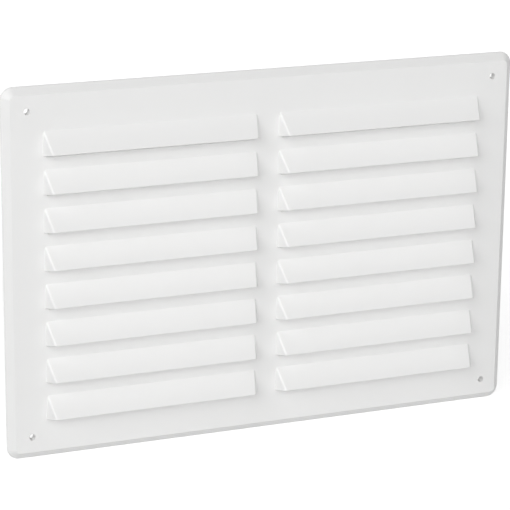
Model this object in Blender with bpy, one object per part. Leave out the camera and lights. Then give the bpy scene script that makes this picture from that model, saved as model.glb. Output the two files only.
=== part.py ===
"""Louvre vent: a moulded plastic cover plate with two columns of hooded louvres.

The plate hangs on a wall. The wall plane is y = 0, the front looks along -Y, up is +Z
and x = 0 is the centre line. All sizes are in metres.
"""

import math

import bmesh
import bpy
from mathutils import Matrix

PART_NAME = "louvre_vent"

# Cover plate
PLATE_WIDTH = 0.2426
PLATE_HEIGHT = 0.1673
PLATE_DEPTH = 0.0038
PLATE_WALL = 0.0018
CORNER_RADIUS = 0.0075
CORNER_SEGMENTS = 12

# Rim of the plate: an upright foot on the wall, a slope, and a small step up to the face
RIM_FOOT = 0.0005
RIM_RUN = 0.0033
FACE_STEP = 0.0003
FACE_EDGE_RADIUS = 0.0002

# Field of louvres, measured from the plate's outline
LOUVRE_ROWS = 8
SIDE_MARGIN = 0.0178
TOP_MARGIN = 0.0192
BOTTOM_MARGIN = 0.0181
BRIDGE_WIDTH = 0.0103

# One hood: a sloping face between two tapered cheeks, open below
HOOD_DROP = 0.0096
HOOD_REACH = 0.0070
HOOD_WALL = 0.0015
LIP_LAND = 0.0006
FOOT_DROP = 0.0015
END_TAPER = 0.0020
END_SPLAY = 0.0002
END_EDGE_RADIUS = 0.0009
END_EDGE_SEGMENTS = 3
SILL_DROP = 0.0005

# Screw holes in the corners, each through a boss that reaches the wall
SCREW_INSET_X = 0.0108
SCREW_INSET_Z = 0.01045
SCREW_HOLE_DIAMETER = 0.0028
BOSS_DIAMETER = 0.0075
ROUND_SEGMENTS = 32

# How far a cutter runs past what it cuts, and the thinnest nose or corner that it may have
CUT_MARGIN = 0.0005
CUTTER_NOSE = 0.0003

PLASTIC_COLOUR = (0.86, 0.86, 0.85, 1.0)
PLASTIC_ROUGHNESS = 0.42

# Sizes that follow from the ones above
RIM_RISE = PLATE_DEPTH - RIM_FOOT - FACE_STEP
RIM_SLOPE = RIM_RUN / RIM_RISE
RIM_LAND = PLATE_WALL * math.hypot(1, RIM_SLOPE) - RIM_FOOT * RIM_SLOPE
HOLLOW_DEPTH = PLATE_DEPTH - PLATE_WALL
HOOD_LENGTH = (PLATE_WIDTH - 2 * SIDE_MARGIN - BRIDGE_WIDTH) / 2
HOOD_HEIGHT = HOOD_DROP + FOOT_DROP
ROW_PITCH = (PLATE_HEIGHT - TOP_MARGIN - BOTTOM_MARGIN - HOOD_HEIGHT) / (LOUVRE_ROWS - 1)
HOOD_SLOPE = (HOOD_DROP - LIP_LAND) / HOOD_REACH
CHEEK_SPLAY = END_SPLAY / HOOD_DROP
CHEEK_DRAFT = (END_TAPER + END_SPLAY) / HOOD_REACH


def clear_scene():
    """Remove whatever the open file holds."""
    for thing in list(bpy.data.objects):
        bpy.data.objects.remove(thing, do_unlink=True)


def add_collection(name):
    collection = bpy.data.collections.new(name)
    bpy.context.scene.collection.children.link(collection)
    return collection


def add_object(bm, name, collection):
    """Turn a finished bmesh into an object with its faces pointing out."""
    bmesh.ops.recalc_face_normals(bm, faces=bm.faces)
    mesh = bpy.data.meshes.new(name)
    bm.to_mesh(mesh)
    bm.free()
    thing = bpy.data.objects.new(name, mesh)
    collection.objects.link(thing)
    return thing


def add_cutter(bm, name, collection):
    """An object that only shapes the vent: drawn as wire and never rendered."""
    thing = add_object(bm, name, collection)
    thing.hide_render = True
    thing.display_type = "WIRE"
    return thing


def outline_ring(bm, inset, y):
    """The plate's rounded outline, drawn in by inset at one depth, as a ring of edges."""
    radius = max(CORNER_RADIUS - inset, CUTTER_NOSE)
    ring = []
    for quarter, (side_x, side_z) in enumerate(((1, 1), (-1, 1), (-1, -1), (1, -1))):
        centre_x = side_x * (PLATE_WIDTH / 2 - inset - radius)
        centre_z = side_z * (PLATE_HEIGHT / 2 - inset - radius)
        for step in range(CORNER_SEGMENTS + 1):
            angle = (quarter + step / CORNER_SEGMENTS) * math.pi / 2
            x = centre_x + radius * math.cos(angle)
            z = centre_z + radius * math.sin(angle)
            ring.append(bm.verts.new((x, y, z)))
    return [bm.edges.new((a, b)) for a, b in zip(ring, ring[1:] + ring[:1])]


def lofted_block(levels):
    """A closed block through the outlines given as (inset, depth) from back to front."""
    bm = bmesh.new()
    rings = [outline_ring(bm, inset, -depth) for inset, depth in levels]
    for back_ring, front_ring in zip(rings, rings[1:]):
        bmesh.ops.bridge_loops(bm, edges=back_ring + front_ring)
    bmesh.ops.holes_fill(bm, edges=rings[0] + rings[-1], sides=0)
    return bm


def plate_block():
    """The whole plate as a solid: foot, sloping rim, step and face."""
    face_edge = PLATE_DEPTH - FACE_EDGE_RADIUS
    return lofted_block((
        (0, 0),
        (0, RIM_FOOT),
        (RIM_RUN, RIM_FOOT + RIM_RISE),
        (RIM_RUN, face_edge),
        (RIM_RUN + FACE_EDGE_RADIUS, PLATE_DEPTH),
    ))


def plate_hollow():
    """The shallow hollow behind the plate, which leaves the rim's land on the wall."""
    floor_inset = RIM_LAND + HOLLOW_DEPTH * RIM_SLOPE
    return lofted_block((
        (RIM_LAND, -CUT_MARGIN),
        (RIM_LAND, 0),
        (floor_inset, HOLLOW_DEPTH),
    ))


def hood_positions():
    """The middle of each hood's top edge, column by column from the top."""
    for side in (-1, 1):
        x = side * (BRIDGE_WIDTH + HOOD_LENGTH) / 2
        for row in range(LOUVRE_ROWS):
            yield x, PLATE_HEIGHT / 2 - TOP_MARGIN - row * ROW_PITCH


def cheek_half_length(reach, drop):
    """Half of a hood's length at a reach before the plate and a drop below its top edge."""
    return HOOD_LENGTH / 2 + CHEEK_SPLAY * drop - CHEEK_DRAFT * reach


def hood_wedge(x, top_z, section, cheek_inset, edge_radius):
    """A hood's block, from its section: (reach, drop) of each corner, keyed by (front, top).

    The two slanting edges between the face and the cheeks are rounded by edge_radius.
    """
    bm = bmesh.new()
    bmesh.ops.create_cube(bm, size=2)
    slanting = [
        edge for edge in bm.edges
        if edge.verts[0].co.x == edge.verts[1].co.x
        and (all(v.co.z > 0 for v in edge.verts) or all(v.co.y < 0 for v in edge.verts))
    ]
    for v in bm.verts:
        reach, drop = section[(v.co.y < 0, v.co.z > 0)]
        half = cheek_half_length(reach, drop) - cheek_inset
        v.co = (x + math.copysign(half, v.co.x), -PLATE_DEPTH - reach, top_z - drop)
    if edge_radius > 0:
        bmesh.ops.bevel(
            bm, geom=slanting, offset=edge_radius, offset_type="OFFSET", affect="EDGES",
            segments=END_EDGE_SEGMENTS, profile=0.5, material=-1, clamp_overlap=True,
        )
    return bm


def hood_shell_section():
    """The outside of a hood: its back is sunk half way into the plate's wall."""
    sunk = PLATE_WALL / 2
    foot_slope = FOOT_DROP / HOOD_REACH
    return {
        (False, True): (-sunk, -sunk * HOOD_SLOPE),
        (True, True): (HOOD_REACH, HOOD_REACH * HOOD_SLOPE),
        (True, False): (HOOD_REACH, HOOD_DROP),
        (False, False): (-sunk, HOOD_HEIGHT + sunk * foot_slope),
    }


def hood_core_section():
    """The space inside a hood, which runs back through the plate and opens below the lip."""
    wall_drop = HOOD_WALL * math.hypot(1, HOOD_SLOPE)
    floor = HOOD_HEIGHT + SILL_DROP
    back = -(PLATE_WALL + CUT_MARGIN)
    nose = (floor - CUTTER_NOSE - wall_drop) / HOOD_SLOPE
    return {
        (False, True): (back, back * HOOD_SLOPE + wall_drop),
        (True, True): (nose, floor - CUTTER_NOSE),
        (True, False): (nose, floor),
        (False, False): (back, floor),
    }


def screw_positions():
    for side_x in (-1, 1):
        for side_z in (-1, 1):
            x = side_x * (PLATE_WIDTH / 2 - SCREW_INSET_X)
            yield x, side_z * (PLATE_HEIGHT / 2 - SCREW_INSET_Z)


def round_bar(x, z, diameter, back, front):
    """A cylinder square to the wall between two depths before it."""
    bm = bmesh.new()
    bmesh.ops.create_cone(
        bm, cap_ends=True, segments=ROUND_SEGMENTS, radius1=diameter / 2,
        radius2=diameter / 2, depth=front - back,
    )
    turn = Matrix.Rotation(math.pi / 2, 4, "X")
    place = Matrix.Translation((x, -(back + front) / 2, z))
    bmesh.ops.transform(bm, matrix=place @ turn, verts=bm.verts)
    return bm


def boolean(thing, name, operation, operand):
    """Join or cut with one object, or with every object in a collection."""
    modifier = thing.modifiers.new(name, "BOOLEAN")
    modifier.operation = operation
    modifier.solver = "EXACT"
    if isinstance(operand, bpy.types.Collection):
        modifier.operand_type = "COLLECTION"
        modifier.collection = operand
    else:
        modifier.object = operand


def plastic():
    """White moulded plastic with a satin surface."""
    material = bpy.data.materials.new("white_plastic")
    material.use_nodes = True
    shader = material.node_tree.nodes["Principled BSDF"]
    shader.inputs["Base Color"].default_value = PLASTIC_COLOUR
    shader.inputs["Roughness"].default_value = PLASTIC_ROUGHNESS
    shader.inputs["Metallic"].default_value = 0.0
    material.diffuse_color = PLASTIC_COLOUR
    return material


def build():
    clear_scene()
    parts = add_collection(PART_NAME)
    blocks = add_collection("hollow_block")
    shells = add_collection("hood_shells")
    cores = add_collection("hood_cores")
    bosses = add_collection("screw_bosses")
    holes = add_collection("screw_holes")

    vent = add_object(plate_block(), PART_NAME, parts)
    vent.data.materials.append(plastic())
    hollow = add_cutter(plate_hollow(), "plate_hollow", blocks)

    shell_section = hood_shell_section()
    core_section = hood_core_section()
    cheek_wall = HOOD_WALL * math.hypot(1, CHEEK_DRAFT, CHEEK_SPLAY)
    for number, (x, top_z) in enumerate(hood_positions(), start=1):
        shell = hood_wedge(x, top_z, shell_section, 0, END_EDGE_RADIUS)
        add_cutter(shell, f"hood_shell_{number:02d}", shells)
        core = hood_wedge(x, top_z, core_section, cheek_wall, 0)
        add_cutter(core, f"hood_core_{number:02d}", cores)

    for number, (x, z) in enumerate(screw_positions(), start=1):
        boss = round_bar(x, z, BOSS_DIAMETER, 0, PLATE_DEPTH - PLATE_WALL / 2)
        add_cutter(boss, f"screw_boss_{number}", bosses)
        hole = round_bar(x, z, SCREW_HOLE_DIAMETER, -CUT_MARGIN, PLATE_DEPTH + CUT_MARGIN)
        add_cutter(hole, f"screw_hole_{number}", holes)

    boolean(vent, "hollow back", "DIFFERENCE", hollow)
    boolean(vent, "screw bosses", "UNION", bosses)
    boolean(vent, "hoods", "UNION", shells)
    boolean(vent, "hood cores", "DIFFERENCE", cores)
    boolean(vent, "screw holes", "DIFFERENCE", holes)


build()
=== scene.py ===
"""Louvre vent: the finished moulding, its satin plastic and a plain studio round it.

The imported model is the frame, in metres: the wall plane is y = 0, the front looks along
-Y, up is +Z and x = 0 is the centre line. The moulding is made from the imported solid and
keeps its sizes. Its edges are rounded, and the plate's four corners are a little tighter.
"""

import math

import bmesh
import bpy
from bpy.props import FloatProperty, FloatVectorProperty, IntProperty, PointerProperty
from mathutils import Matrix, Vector


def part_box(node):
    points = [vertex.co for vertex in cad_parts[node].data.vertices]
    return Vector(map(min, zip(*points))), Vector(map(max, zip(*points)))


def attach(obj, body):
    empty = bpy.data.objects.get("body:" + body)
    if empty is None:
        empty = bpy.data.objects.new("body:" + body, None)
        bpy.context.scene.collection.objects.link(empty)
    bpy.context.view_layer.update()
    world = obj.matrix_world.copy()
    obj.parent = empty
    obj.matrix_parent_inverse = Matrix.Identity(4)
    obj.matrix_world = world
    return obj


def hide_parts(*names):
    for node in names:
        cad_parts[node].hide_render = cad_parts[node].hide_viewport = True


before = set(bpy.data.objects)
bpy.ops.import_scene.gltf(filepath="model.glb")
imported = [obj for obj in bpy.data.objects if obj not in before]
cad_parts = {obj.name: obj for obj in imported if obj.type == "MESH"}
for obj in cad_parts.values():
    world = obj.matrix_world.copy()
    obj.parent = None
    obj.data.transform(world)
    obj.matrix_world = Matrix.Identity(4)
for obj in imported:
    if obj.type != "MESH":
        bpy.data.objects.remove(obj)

bl_info = {
    "name": "Louvre Vent",
    "version": (1, 0, 0),
    "blender": (4, 5, 0),
    "location": "View3D > Sidebar > Louvre Vent",
    "description": "Makes the finished moulding of a louvre vent and a studio to show it in",
    "category": "Object",
}

NODE = "louvre_vent"
NODE_LOW, NODE_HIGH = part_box(NODE)

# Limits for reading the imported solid: distances, the turn between two faces, and how far a
# face's normal points one way
WELD_DISTANCE = 2e-6
SAME_DEPTH = 1e-5
DEPTH_DIGITS = 5
FOOT_ZONE = 0.001
FLAT_ANGLE = math.radians(3)
HOLLOW_TURN = math.radians(30)
SHARP_TURN = math.radians(55)
SMOOTH_TURN = math.radians(60)
LOOKS_FORWARD = -0.999
LOOKS_DOWN = -0.7

# The plastic: the noise scales of its mottle and its grain, how much of the roughness the
# grain makes, and the refractive index
MOTTLE_SCALE = 28.0
GRAIN_SCALE = 1500.0
GRAIN_ROUGHNESS = 0.12
PLASTIC_IOR = 1.49

# The floor's half width and colour, and its own white for the rays that see the background:
# the strength near the vent, where the vent's shadow shows, the strength far off, and the
# distances between which it grows
FLOOR_REACH = 4.0
FLOOR_COLOUR = (0.68, 0.68, 0.68, 1.0)
NEAR_GLOW = 0.7
FAR_GLOW = 0.9
GLOW_DISTANCES = (0.25, 0.8)

# Width of the picture that the lens is given for, in millimetres
PICTURE_WIDTH = 36.0
WHITE = (1.0, 1.0, 1.0, 1.0)
BLACK = (0.0, 0.0, 0.0, 1.0)


class VentMouldingSettings(bpy.types.PropertyGroup):
    """Where the moulding's holes and hoods are, and the radii of its edges."""

    screw_spacing: FloatVectorProperty(
        name="Screw spacing",
        description="Distance between the screw holes, across and up the wall",
        default=(0.2210, 0.1464), size=2, unit="LENGTH", subtype="XYZ_LENGTH",
    )
    column_spacing: FloatProperty(
        name="Column spacing",
        description="Distance between the middles of the two columns of hoods",
        default=0.10865, min=0.0, unit="LENGTH", subtype="DISTANCE",
    )
    rows: IntProperty(
        name="Rows",
        description="Number of hoods in a column",
        default=8, min=1,
    )
    row_pitch: FloatProperty(
        name="Row pitch",
        description="Distance from one hood to the next below it",
        default=0.016986, min=0.0, unit="LENGTH", subtype="DISTANCE",
    )
    first_gap: FloatProperty(
        name="First gap",
        description="Height of the middle of the flat strip under the first hood",
        default=0.05041, unit="LENGTH", subtype="DISTANCE",
    )
    solid_corner: FloatProperty(
        name="Solid's corner",
        description="Radius of the corners of the packed solid's outline",
        default=0.0075, min=0.0, unit="LENGTH", subtype="DISTANCE",
    )
    finished_corner: FloatProperty(
        name="Finished corner",
        description="Radius of the corners of the finished moulding's outline",
        default=0.0056, min=0.0045, unit="LENGTH", subtype="DISTANCE",
    )
    foot_radius: FloatProperty(
        name="Foot radius",
        description="Radius of the hollow where a hood runs into the plate",
        default=0.0002, min=0.0, unit="LENGTH", subtype="DISTANCE",
    )
    lip_radius: FloatProperty(
        name="Lip radius",
        description="Radius of the lips and of the other edges before the face",
        default=0.0003, min=0.0, unit="LENGTH", subtype="DISTANCE",
    )
    rim_radius: FloatProperty(
        name="Rim radius",
        description="Radius between the rim's slope and its upright foot",
        default=0.0008, min=0.0, unit="LENGTH", subtype="DISTANCE",
    )
    edge_radius: FloatProperty(
        name="Edge radius",
        description="Radius of the slots, the screw holes and the edges behind the face",
        default=0.0001, min=0.0, unit="LENGTH", subtype="DISTANCE",
    )
    round_segments: IntProperty(
        name="Segments",
        description="Flat strips that make up one rounded edge",
        default=3, min=1, max=8,
    )


class VentPlasticSettings(bpy.types.PropertyGroup):
    """Colour and finish of the plastic."""

    colour: FloatVectorProperty(
        name="Colour",
        description="Colour of the plastic in even light",
        default=(0.86, 0.86, 0.855), size=3, min=0.0, max=1.0, subtype="COLOR",
    )
    roughness: FloatProperty(
        name="Roughness",
        description="How satin the surface is, from 0, polished, to 1, chalky",
        default=0.42, min=0.0, max=1.0, subtype="FACTOR",
    )
    grain_height: FloatProperty(
        name="Grain height",
        description="Height of the fine grain that the mould leaves",
        default=0.000006, min=0.0, unit="LENGTH", subtype="DISTANCE",
    )
    mottle: FloatProperty(
        name="Mottle",
        description="How much the colour varies over the moulding",
        default=0.012, min=0.0, max=0.2, subtype="FACTOR",
    )


class VentStudioSettings(bpy.types.PropertyGroup):
    """Camera, lamps and floor."""

    camera_place: FloatVectorProperty(
        name="Camera place",
        description="Where the camera stands",
        default=(-0.38287, -0.92209, 0.28969), size=3, unit="LENGTH", subtype="TRANSLATION",
    )
    camera_turn: FloatVectorProperty(
        name="Camera turn",
        description="The camera's angles about X, Y and Z",
        default=(1.28672, -0.01031, -0.38664), size=3, unit="ROTATION", subtype="EULER",
    )
    lens: FloatProperty(
        name="Lens",
        description="Focal length for a picture 36 mm wide, in millimetres",
        default=163.27, min=1.0, unit="CAMERA",
    )
    key_power: FloatProperty(
        name="Key power",
        description="Power of the wide lamp at the upper left",
        default=82.5, min=0.0, unit="POWER",
    )
    front_power: FloatProperty(
        name="Front power",
        description="Power of the widest lamp, which stands in front",
        default=69.0, min=0.0, unit="POWER",
    )
    rear_power: FloatProperty(
        name="Rear power",
        description="Power of the long lamp behind, which shines through the slots",
        default=0.26, min=0.0, unit="POWER",
    )
    room_light: FloatProperty(
        name="Room light",
        description="Strength of the even light from all round",
        default=0.185, min=0.0,
    )


class LOUVREVENT_OT_moulding(bpy.types.Operator):
    """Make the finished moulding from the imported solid"""

    bl_idname = "louvre_vent.moulding"
    bl_label = "Moulding"

    def execute(self, context):
        settings = context.scene.louvre_vent_moulding
        bm = welded_copy(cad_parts[NODE].data, settings)
        reshape_corners(bm, settings)
        widest = set_edge_widths(bm, settings)
        mesh = bpy.data.meshes.new("louvre_vent_moulding")
        bm.to_mesh(mesh)
        bm.free()
        mesh.set_sharp_from_angle(angle=SMOOTH_TURN)
        mesh.materials.append(plastic_material(context.scene.louvre_vent_plastic))
        moulding = bpy.data.objects.new("louvre_vent_moulding", mesh)
        context.scene.collection.objects.link(moulding)
        round_edges(moulding, widest, settings)
        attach(moulding, "root")
        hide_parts(NODE)
        return {"FINISHED"}


class LOUVREVENT_OT_stage(bpy.types.Operator):
    """Set up the floor, the lamps, the room light and the camera"""

    bl_idname = "louvre_vent.stage"
    bl_label = "Stage"

    def execute(self, context):
        settings = context.scene.louvre_vent_studio
        make_floor(context.scene)
        # Each lamp's degrees to the left and up, distance, width, height, power and spread
        for name, left, up, distance, width, height, power, spread in (
            ("key_lamp", 50, 27, 3.7, 3.3, 3.0, settings.key_power, 180),
            ("front_lamp", -5, 18, 4.2, 4.4, 2.6, settings.front_power, 180),
            ("rear_lamp", 180, 0, 0.7, 0.9, 0.15, settings.rear_power, 25),
        ):
            place = place_round(math.radians(left), math.radians(up), distance)
            lamp = add_lamp(context.scene, name, place, (width, height), power)
            lamp.data.spread = math.radians(spread)
        make_world(context.scene, settings.room_light)
        add_camera(context.scene, settings)
        context.scene.view_settings.view_transform = "Standard"
        return {"FINISHED"}


class LOUVREVENT_PT_sidebar(bpy.types.Panel):
    """The vent's sizes, finish and studio"""

    bl_idname = "LOUVREVENT_PT_sidebar"
    bl_label = "Louvre Vent"
    bl_space_type = "VIEW_3D"
    bl_region_type = "UI"
    bl_category = "Louvre Vent"

    def draw(self, context):
        groups = (
            (context.scene.louvre_vent_moulding, LOUVREVENT_OT_moulding.bl_idname),
            (context.scene.louvre_vent_plastic, None),
            (context.scene.louvre_vent_studio, LOUVREVENT_OT_stage.bl_idname),
        )
        for settings, operator in groups:
            box = self.layout.box()
            for name in settings.__annotations__:
                box.prop(settings, name)
            if operator:
                box.operator(operator)


def cell_planes(settings):
    """Planes through the screw holes, down the columns and between the rows."""
    half_x = settings.screw_spacing[0] / 2
    half_z = settings.screw_spacing[1] / 2
    column = settings.column_spacing / 2
    for x in (-half_x, -column, 0.0, column, half_x):
        yield Vector((x, 0, 0)), Vector((1, 0, 0))
    gaps = [settings.first_gap - row * settings.row_pitch for row in range(settings.rows - 1)]
    for z in (half_z, *gaps, -half_z):
        yield Vector((0, 0, z)), Vector((0, 0, 1))


def welded_copy(source, settings):
    """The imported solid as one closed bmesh, its flats whole but for cuts round each hole."""
    bm = bmesh.new()
    bm.from_mesh(source)
    bmesh.ops.remove_doubles(bm, verts=bm.verts, dist=WELD_DISTANCE)
    for point, normal in cell_planes(settings):
        cut = bmesh.ops.bisect_plane(
            bm, geom=bm.verts[:] + bm.edges[:] + bm.faces[:], dist=WELD_DISTANCE,
            plane_co=point, plane_no=normal,
        )
        for part in cut["geom_cut"]:
            if isinstance(part, bmesh.types.BMEdge):
                part.seam = True
    bmesh.ops.dissolve_limit(
        bm, angle_limit=FLAT_ANGLE, use_dissolve_boundaries=False, verts=bm.verts,
        edges=bm.edges, delimit={"SEAM"},
    )
    if not all(edge.is_manifold for edge in bm.edges):
        raise RuntimeError("the packed vent isn't one closed surface")
    for face in bm.faces:
        face.smooth = True
    return bm


def reshape_corners(bm, settings):
    """Give the corner arcs, which lie one inside the other, their finished radius."""
    solid, finished = settings.solid_corner, settings.finished_corner
    for vert in bm.verts:
        across = abs(vert.co.x) - (NODE_HIGH.x - solid)
        up = abs(vert.co.z) - (NODE_HIGH.z - solid)
        if across > -WELD_DISTANCE and up > -WELD_DISTANCE:
            # Each arc keeps its distance from the straight sides that it joins
            radius = math.hypot(across, up)
            scale = (radius - solid + finished) / radius
            vert.co.x = math.copysign(NODE_HIGH.x - finished + across * scale, vert.co.x)
            vert.co.z = math.copysign(NODE_HIGH.z - finished + up * scale, vert.co.z)


def face_depth(bm):
    """The y of the plate's face: where most of the area that looks along -Y lies."""
    area = {}
    for face in bm.faces:
        if face.normal.y < LOOKS_FORWARD:
            depth = round(face.calc_center_median().y, DEPTH_DIGITS)
            area[depth] = area.get(depth, 0.0) + face.calc_area()
    return max(area, key=area.get)


def radius_of(edge, face_y, settings):
    """The radius that an edge is rounded to, from how it turns and where it lies."""
    turn = edge.calc_face_angle_signed()
    above_foot = all(SAME_DEPTH < NODE_HIGH.y - v.co.y < FOOT_ZONE for v in edge.verts)
    if above_foot and HOLLOW_TURN < turn < SHARP_TURN:
        return settings.rim_radius
    on_face = all(abs(v.co.y - face_y) < SAME_DEPTH for v in edge.verts)
    before_face = all(v.co.y < face_y + SAME_DEPTH for v in edge.verts) and not on_face
    under_hood = any(face.normal.z < LOOKS_DOWN for face in edge.link_faces)
    if on_face and turn < -HOLLOW_TURN and not under_hood:
        return settings.foot_radius
    if abs(turn) < SHARP_TURN:
        return 0.0
    return settings.lip_radius if before_face else settings.edge_radius


def set_edge_widths(bm, settings):
    """Store each edge's bevel width as a share of the widest one, which is returned."""
    face_y = face_depth(bm)
    share = bm.edges.layers.float.new("bevel_weight_edge")
    for edge in bm.edges:
        edge[share] = radius_of(edge, face_y, settings) * math.tan(edge.calc_face_angle() / 2)
    widest = max(edge[share] for edge in bm.edges)
    for edge in bm.edges:
        edge[share] /= widest
    return widest


def round_edges(moulding, widest, settings):
    """Round the edges that have a width, and keep the flats flat between them."""
    bevel = moulding.modifiers.new("rounded edges", "BEVEL")
    bevel.limit_method = "WEIGHT"
    bevel.width = widest
    bevel.segments = settings.round_segments
    bevel.profile = 0.5
    bevel.material = -1
    bevel.use_clamp_overlap = False
    normals = moulding.modifiers.new("flat flats", "WEIGHTED_NORMAL")
    normals.keep_sharp = True


def socket(sockets, name):
    """The socket in use that has this name: a Mix node has one for each kind of data."""
    return next(s for s in sockets if s.name == name and s.enabled)


def add_node(tree, kind, inputs=None, **properties):
    """A node with its properties and then its input sockets set."""
    node = tree.nodes.new(kind)
    for name, value in properties.items():
        setattr(node, name, value)
    for name, value in (inputs or {}).items():
        socket(node.inputs, name).default_value = value
    return node


def moulded_surface_group():
    """Group: a faint mottle of a colour, and the grain that a mould leaves."""
    tree = bpy.data.node_groups.new("moulded_surface", "ShaderNodeTree")
    for name, kind, way in (
        ("Colour", "NodeSocketColor", "INPUT"),
        ("Mottle", "NodeSocketFloat", "INPUT"),
        ("Roughness", "NodeSocketFloat", "INPUT"),
        ("Colour", "NodeSocketColor", "OUTPUT"),
        ("Roughness", "NodeSocketFloat", "OUTPUT"),
        ("Height", "NodeSocketFloat", "OUTPUT"),
    ):
        tree.interface.new_socket(name=name, in_out=way, socket_type=kind)
    link = tree.links.new
    inside = tree.nodes.new("NodeGroupInput")
    outside = tree.nodes.new("NodeGroupOutput")
    place = add_node(tree, "ShaderNodeTexCoord")
    clouds = add_node(tree, "ShaderNodeTexNoise", {"Scale": MOTTLE_SCALE, "Detail": 3.0})
    grain = add_node(tree, "ShaderNodeTexNoise", {"Scale": GRAIN_SCALE, "Detail": 2.0})
    link(place.outputs["Object"], clouds.inputs["Vector"])
    link(place.outputs["Object"], grain.inputs["Vector"])

    # The mottle darkens by up to its own share
    shade = add_node(tree, "ShaderNodeMath", operation="MULTIPLY")
    link(clouds.outputs["Fac"], shade.inputs[0])
    link(inside.outputs["Mottle"], shade.inputs[1])
    mix = add_node(tree, "ShaderNodeMix", {"B": BLACK}, data_type="RGBA")
    link(shade.outputs[0], socket(mix.inputs, "Factor"))
    link(inside.outputs["Colour"], socket(mix.inputs, "A"))
    link(socket(mix.outputs, "Result"), outside.inputs["Colour"])

    # The grain adds its part to the roughness
    sheen = add_node(tree, "ShaderNodeMath", operation="MULTIPLY_ADD")
    sheen.inputs[1].default_value = GRAIN_ROUGHNESS
    link(grain.outputs["Fac"], sheen.inputs[0])
    link(inside.outputs["Roughness"], sheen.inputs[2])
    link(sheen.outputs[0], outside.inputs["Roughness"])
    link(grain.outputs["Fac"], outside.inputs["Height"])
    return tree


def plastic_material(settings):
    """White satin plastic, as it comes from the mould."""
    material = bpy.data.materials.new("white_plastic_finish")
    material.use_nodes = True
    tree = material.node_tree
    shader = tree.nodes["Principled BSDF"]
    shader.inputs["Metallic"].default_value = 0.0
    shader.inputs["IOR"].default_value = PLASTIC_IOR
    surface = tree.nodes.new("ShaderNodeGroup")
    surface.node_tree = moulded_surface_group()
    surface.inputs["Colour"].default_value = (*settings.colour, 1.0)
    surface.inputs["Mottle"].default_value = settings.mottle
    surface.inputs["Roughness"].default_value = settings.roughness - GRAIN_ROUGHNESS / 2
    bump = add_node(tree, "ShaderNodeBump", {"Distance": settings.grain_height})
    tree.links.new(surface.outputs["Colour"], shader.inputs["Base Color"])
    tree.links.new(surface.outputs["Roughness"], shader.inputs["Roughness"])
    tree.links.new(surface.outputs["Height"], bump.inputs["Height"])
    tree.links.new(bump.outputs["Normal"], shader.inputs["Normal"])
    return material


def background_rays(tree):
    """A socket that is 1 for rays that should see the plain white background."""
    path = tree.nodes.new("ShaderNodeLightPath")
    seen = path.outputs["Is Camera Ray"]
    for name in ("Is Glossy Ray", "Is Transmission Ray"):
        either = add_node(tree, "ShaderNodeMath", operation="MAXIMUM")
        tree.links.new(seen, either.inputs[0])
        tree.links.new(path.outputs[name], either.inputs[1])
        seen = either.outputs[0]
    return seen


def make_floor(scene):
    """A wide pale floor under the vent, which keeps its soft shadow."""
    bm = bmesh.new()
    bmesh.ops.create_grid(bm, x_segments=1, y_segments=1, size=FLOOR_REACH)
    bmesh.ops.translate(bm, vec=(0, 0, NODE_LOW.z), verts=bm.verts)
    mesh = bpy.data.meshes.new("floor")
    bm.to_mesh(mesh)
    bm.free()
    floor = bpy.data.objects.new("floor", mesh)
    scene.collection.objects.link(floor)

    material = bpy.data.materials.new("pale_floor")
    material.use_nodes = True
    tree = material.node_tree
    tree.nodes.clear()
    output = tree.nodes.new("ShaderNodeOutputMaterial")
    paint = add_node(tree, "ShaderNodeBsdfDiffuse", {"Color": FLOOR_COLOUR})
    glow = add_node(tree, "ShaderNodeEmission", {"Color": WHITE})
    place = add_node(tree, "ShaderNodeTexCoord")
    distance = add_node(tree, "ShaderNodeVectorMath", operation="LENGTH")
    growth = add_node(tree, "ShaderNodeMapRange", {
        "From Min": GLOW_DISTANCES[0], "From Max": GLOW_DISTANCES[1],
        "To Min": NEAR_GLOW, "To Max": FAR_GLOW,
    })
    strength = add_node(tree, "ShaderNodeMath", operation="MULTIPLY")
    both = tree.nodes.new("ShaderNodeAddShader")
    tree.links.new(place.outputs["Object"], distance.inputs[0])
    tree.links.new(distance.outputs["Value"], growth.inputs["Value"])
    tree.links.new(growth.outputs["Result"], strength.inputs[0])
    tree.links.new(background_rays(tree), strength.inputs[1])
    tree.links.new(strength.outputs[0], glow.inputs["Strength"])
    tree.links.new(paint.outputs[0], both.inputs[0])
    tree.links.new(glow.outputs[0], both.inputs[1])
    tree.links.new(both.outputs[0], output.inputs["Surface"])
    mesh.materials.append(material)


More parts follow.
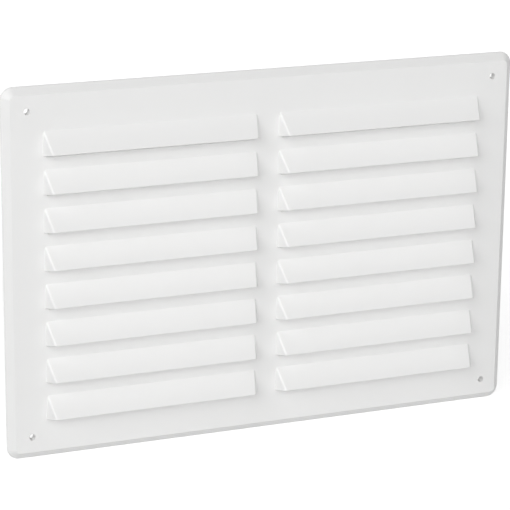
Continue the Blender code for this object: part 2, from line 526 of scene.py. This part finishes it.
def make_world(scene, room_light):
    """Even light from all round, and a plain white background."""
    world = bpy.data.worlds.new("studio")
    world.use_nodes = True
    tree = world.node_tree
    background = tree.nodes["Background"]
    background.inputs["Color"].default_value = WHITE
    strength = add_node(tree, "ShaderNodeMix", {"A": room_light, "B": 1.0}, data_type="FLOAT")
    tree.links.new(background_rays(tree), socket(strength.inputs, "Factor"))
    tree.links.new(socket(strength.outputs, "Result"), background.inputs["Strength"])
    scene.world = world


def place_round(left, up, distance):
    """The point at this turn to the left of the vent's front, height angle and distance."""
    across = distance * math.cos(up)
    return Vector((-across * math.sin(left), -across * math.cos(left), distance * math.sin(up)))


def add_lamp(scene, name, place, size, power):
    """Add a flat soft lamp at a place, turned towards the vent's middle, and return it."""
    light = bpy.data.lights.new(name, "AREA")
    light.shape = "RECTANGLE"
    light.size, light.size_y = size
    light.energy = power
    lamp = bpy.data.objects.new(name, light)
    lamp.location = place
    lamp.rotation_euler = (-place).to_track_quat("-Z", "Y").to_euler()
    scene.collection.objects.link(lamp)
    return lamp


def add_camera(scene, settings):
    """The camera, at the photograph's angle."""
    data = bpy.data.cameras.new("camera")
    data.sensor_width = PICTURE_WIDTH
    data.lens = settings.lens
    data.clip_start = 0.01
    camera = bpy.data.objects.new("camera", data)
    camera.location = settings.camera_place
    camera.rotation_euler = settings.camera_turn
    scene.collection.objects.link(camera)
    scene.camera = camera


CLASSES = (
    VentMouldingSettings,
    VentPlasticSettings,
    VentStudioSettings,
    LOUVREVENT_OT_moulding,
    LOUVREVENT_OT_stage,
    LOUVREVENT_PT_sidebar,
)


def register():
    for cls in CLASSES:
        bpy.utils.register_class(cls)
    bpy.types.Scene.louvre_vent_moulding = PointerProperty(type=VentMouldingSettings)
    bpy.types.Scene.louvre_vent_plastic = PointerProperty(type=VentPlasticSettings)
    bpy.types.Scene.louvre_vent_studio = PointerProperty(type=VentStudioSettings)


def unregister():
    del bpy.types.Scene.louvre_vent_studio
    del bpy.types.Scene.louvre_vent_plastic
    del bpy.types.Scene.louvre_vent_moulding
    for cls in reversed(CLASSES):
        bpy.utils.unregister_class(cls)


def main():
    register()
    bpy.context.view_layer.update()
    bpy.ops.louvre_vent.moulding()
    bpy.ops.louvre_vent.stage()


if __name__ == "__main__":
    main()
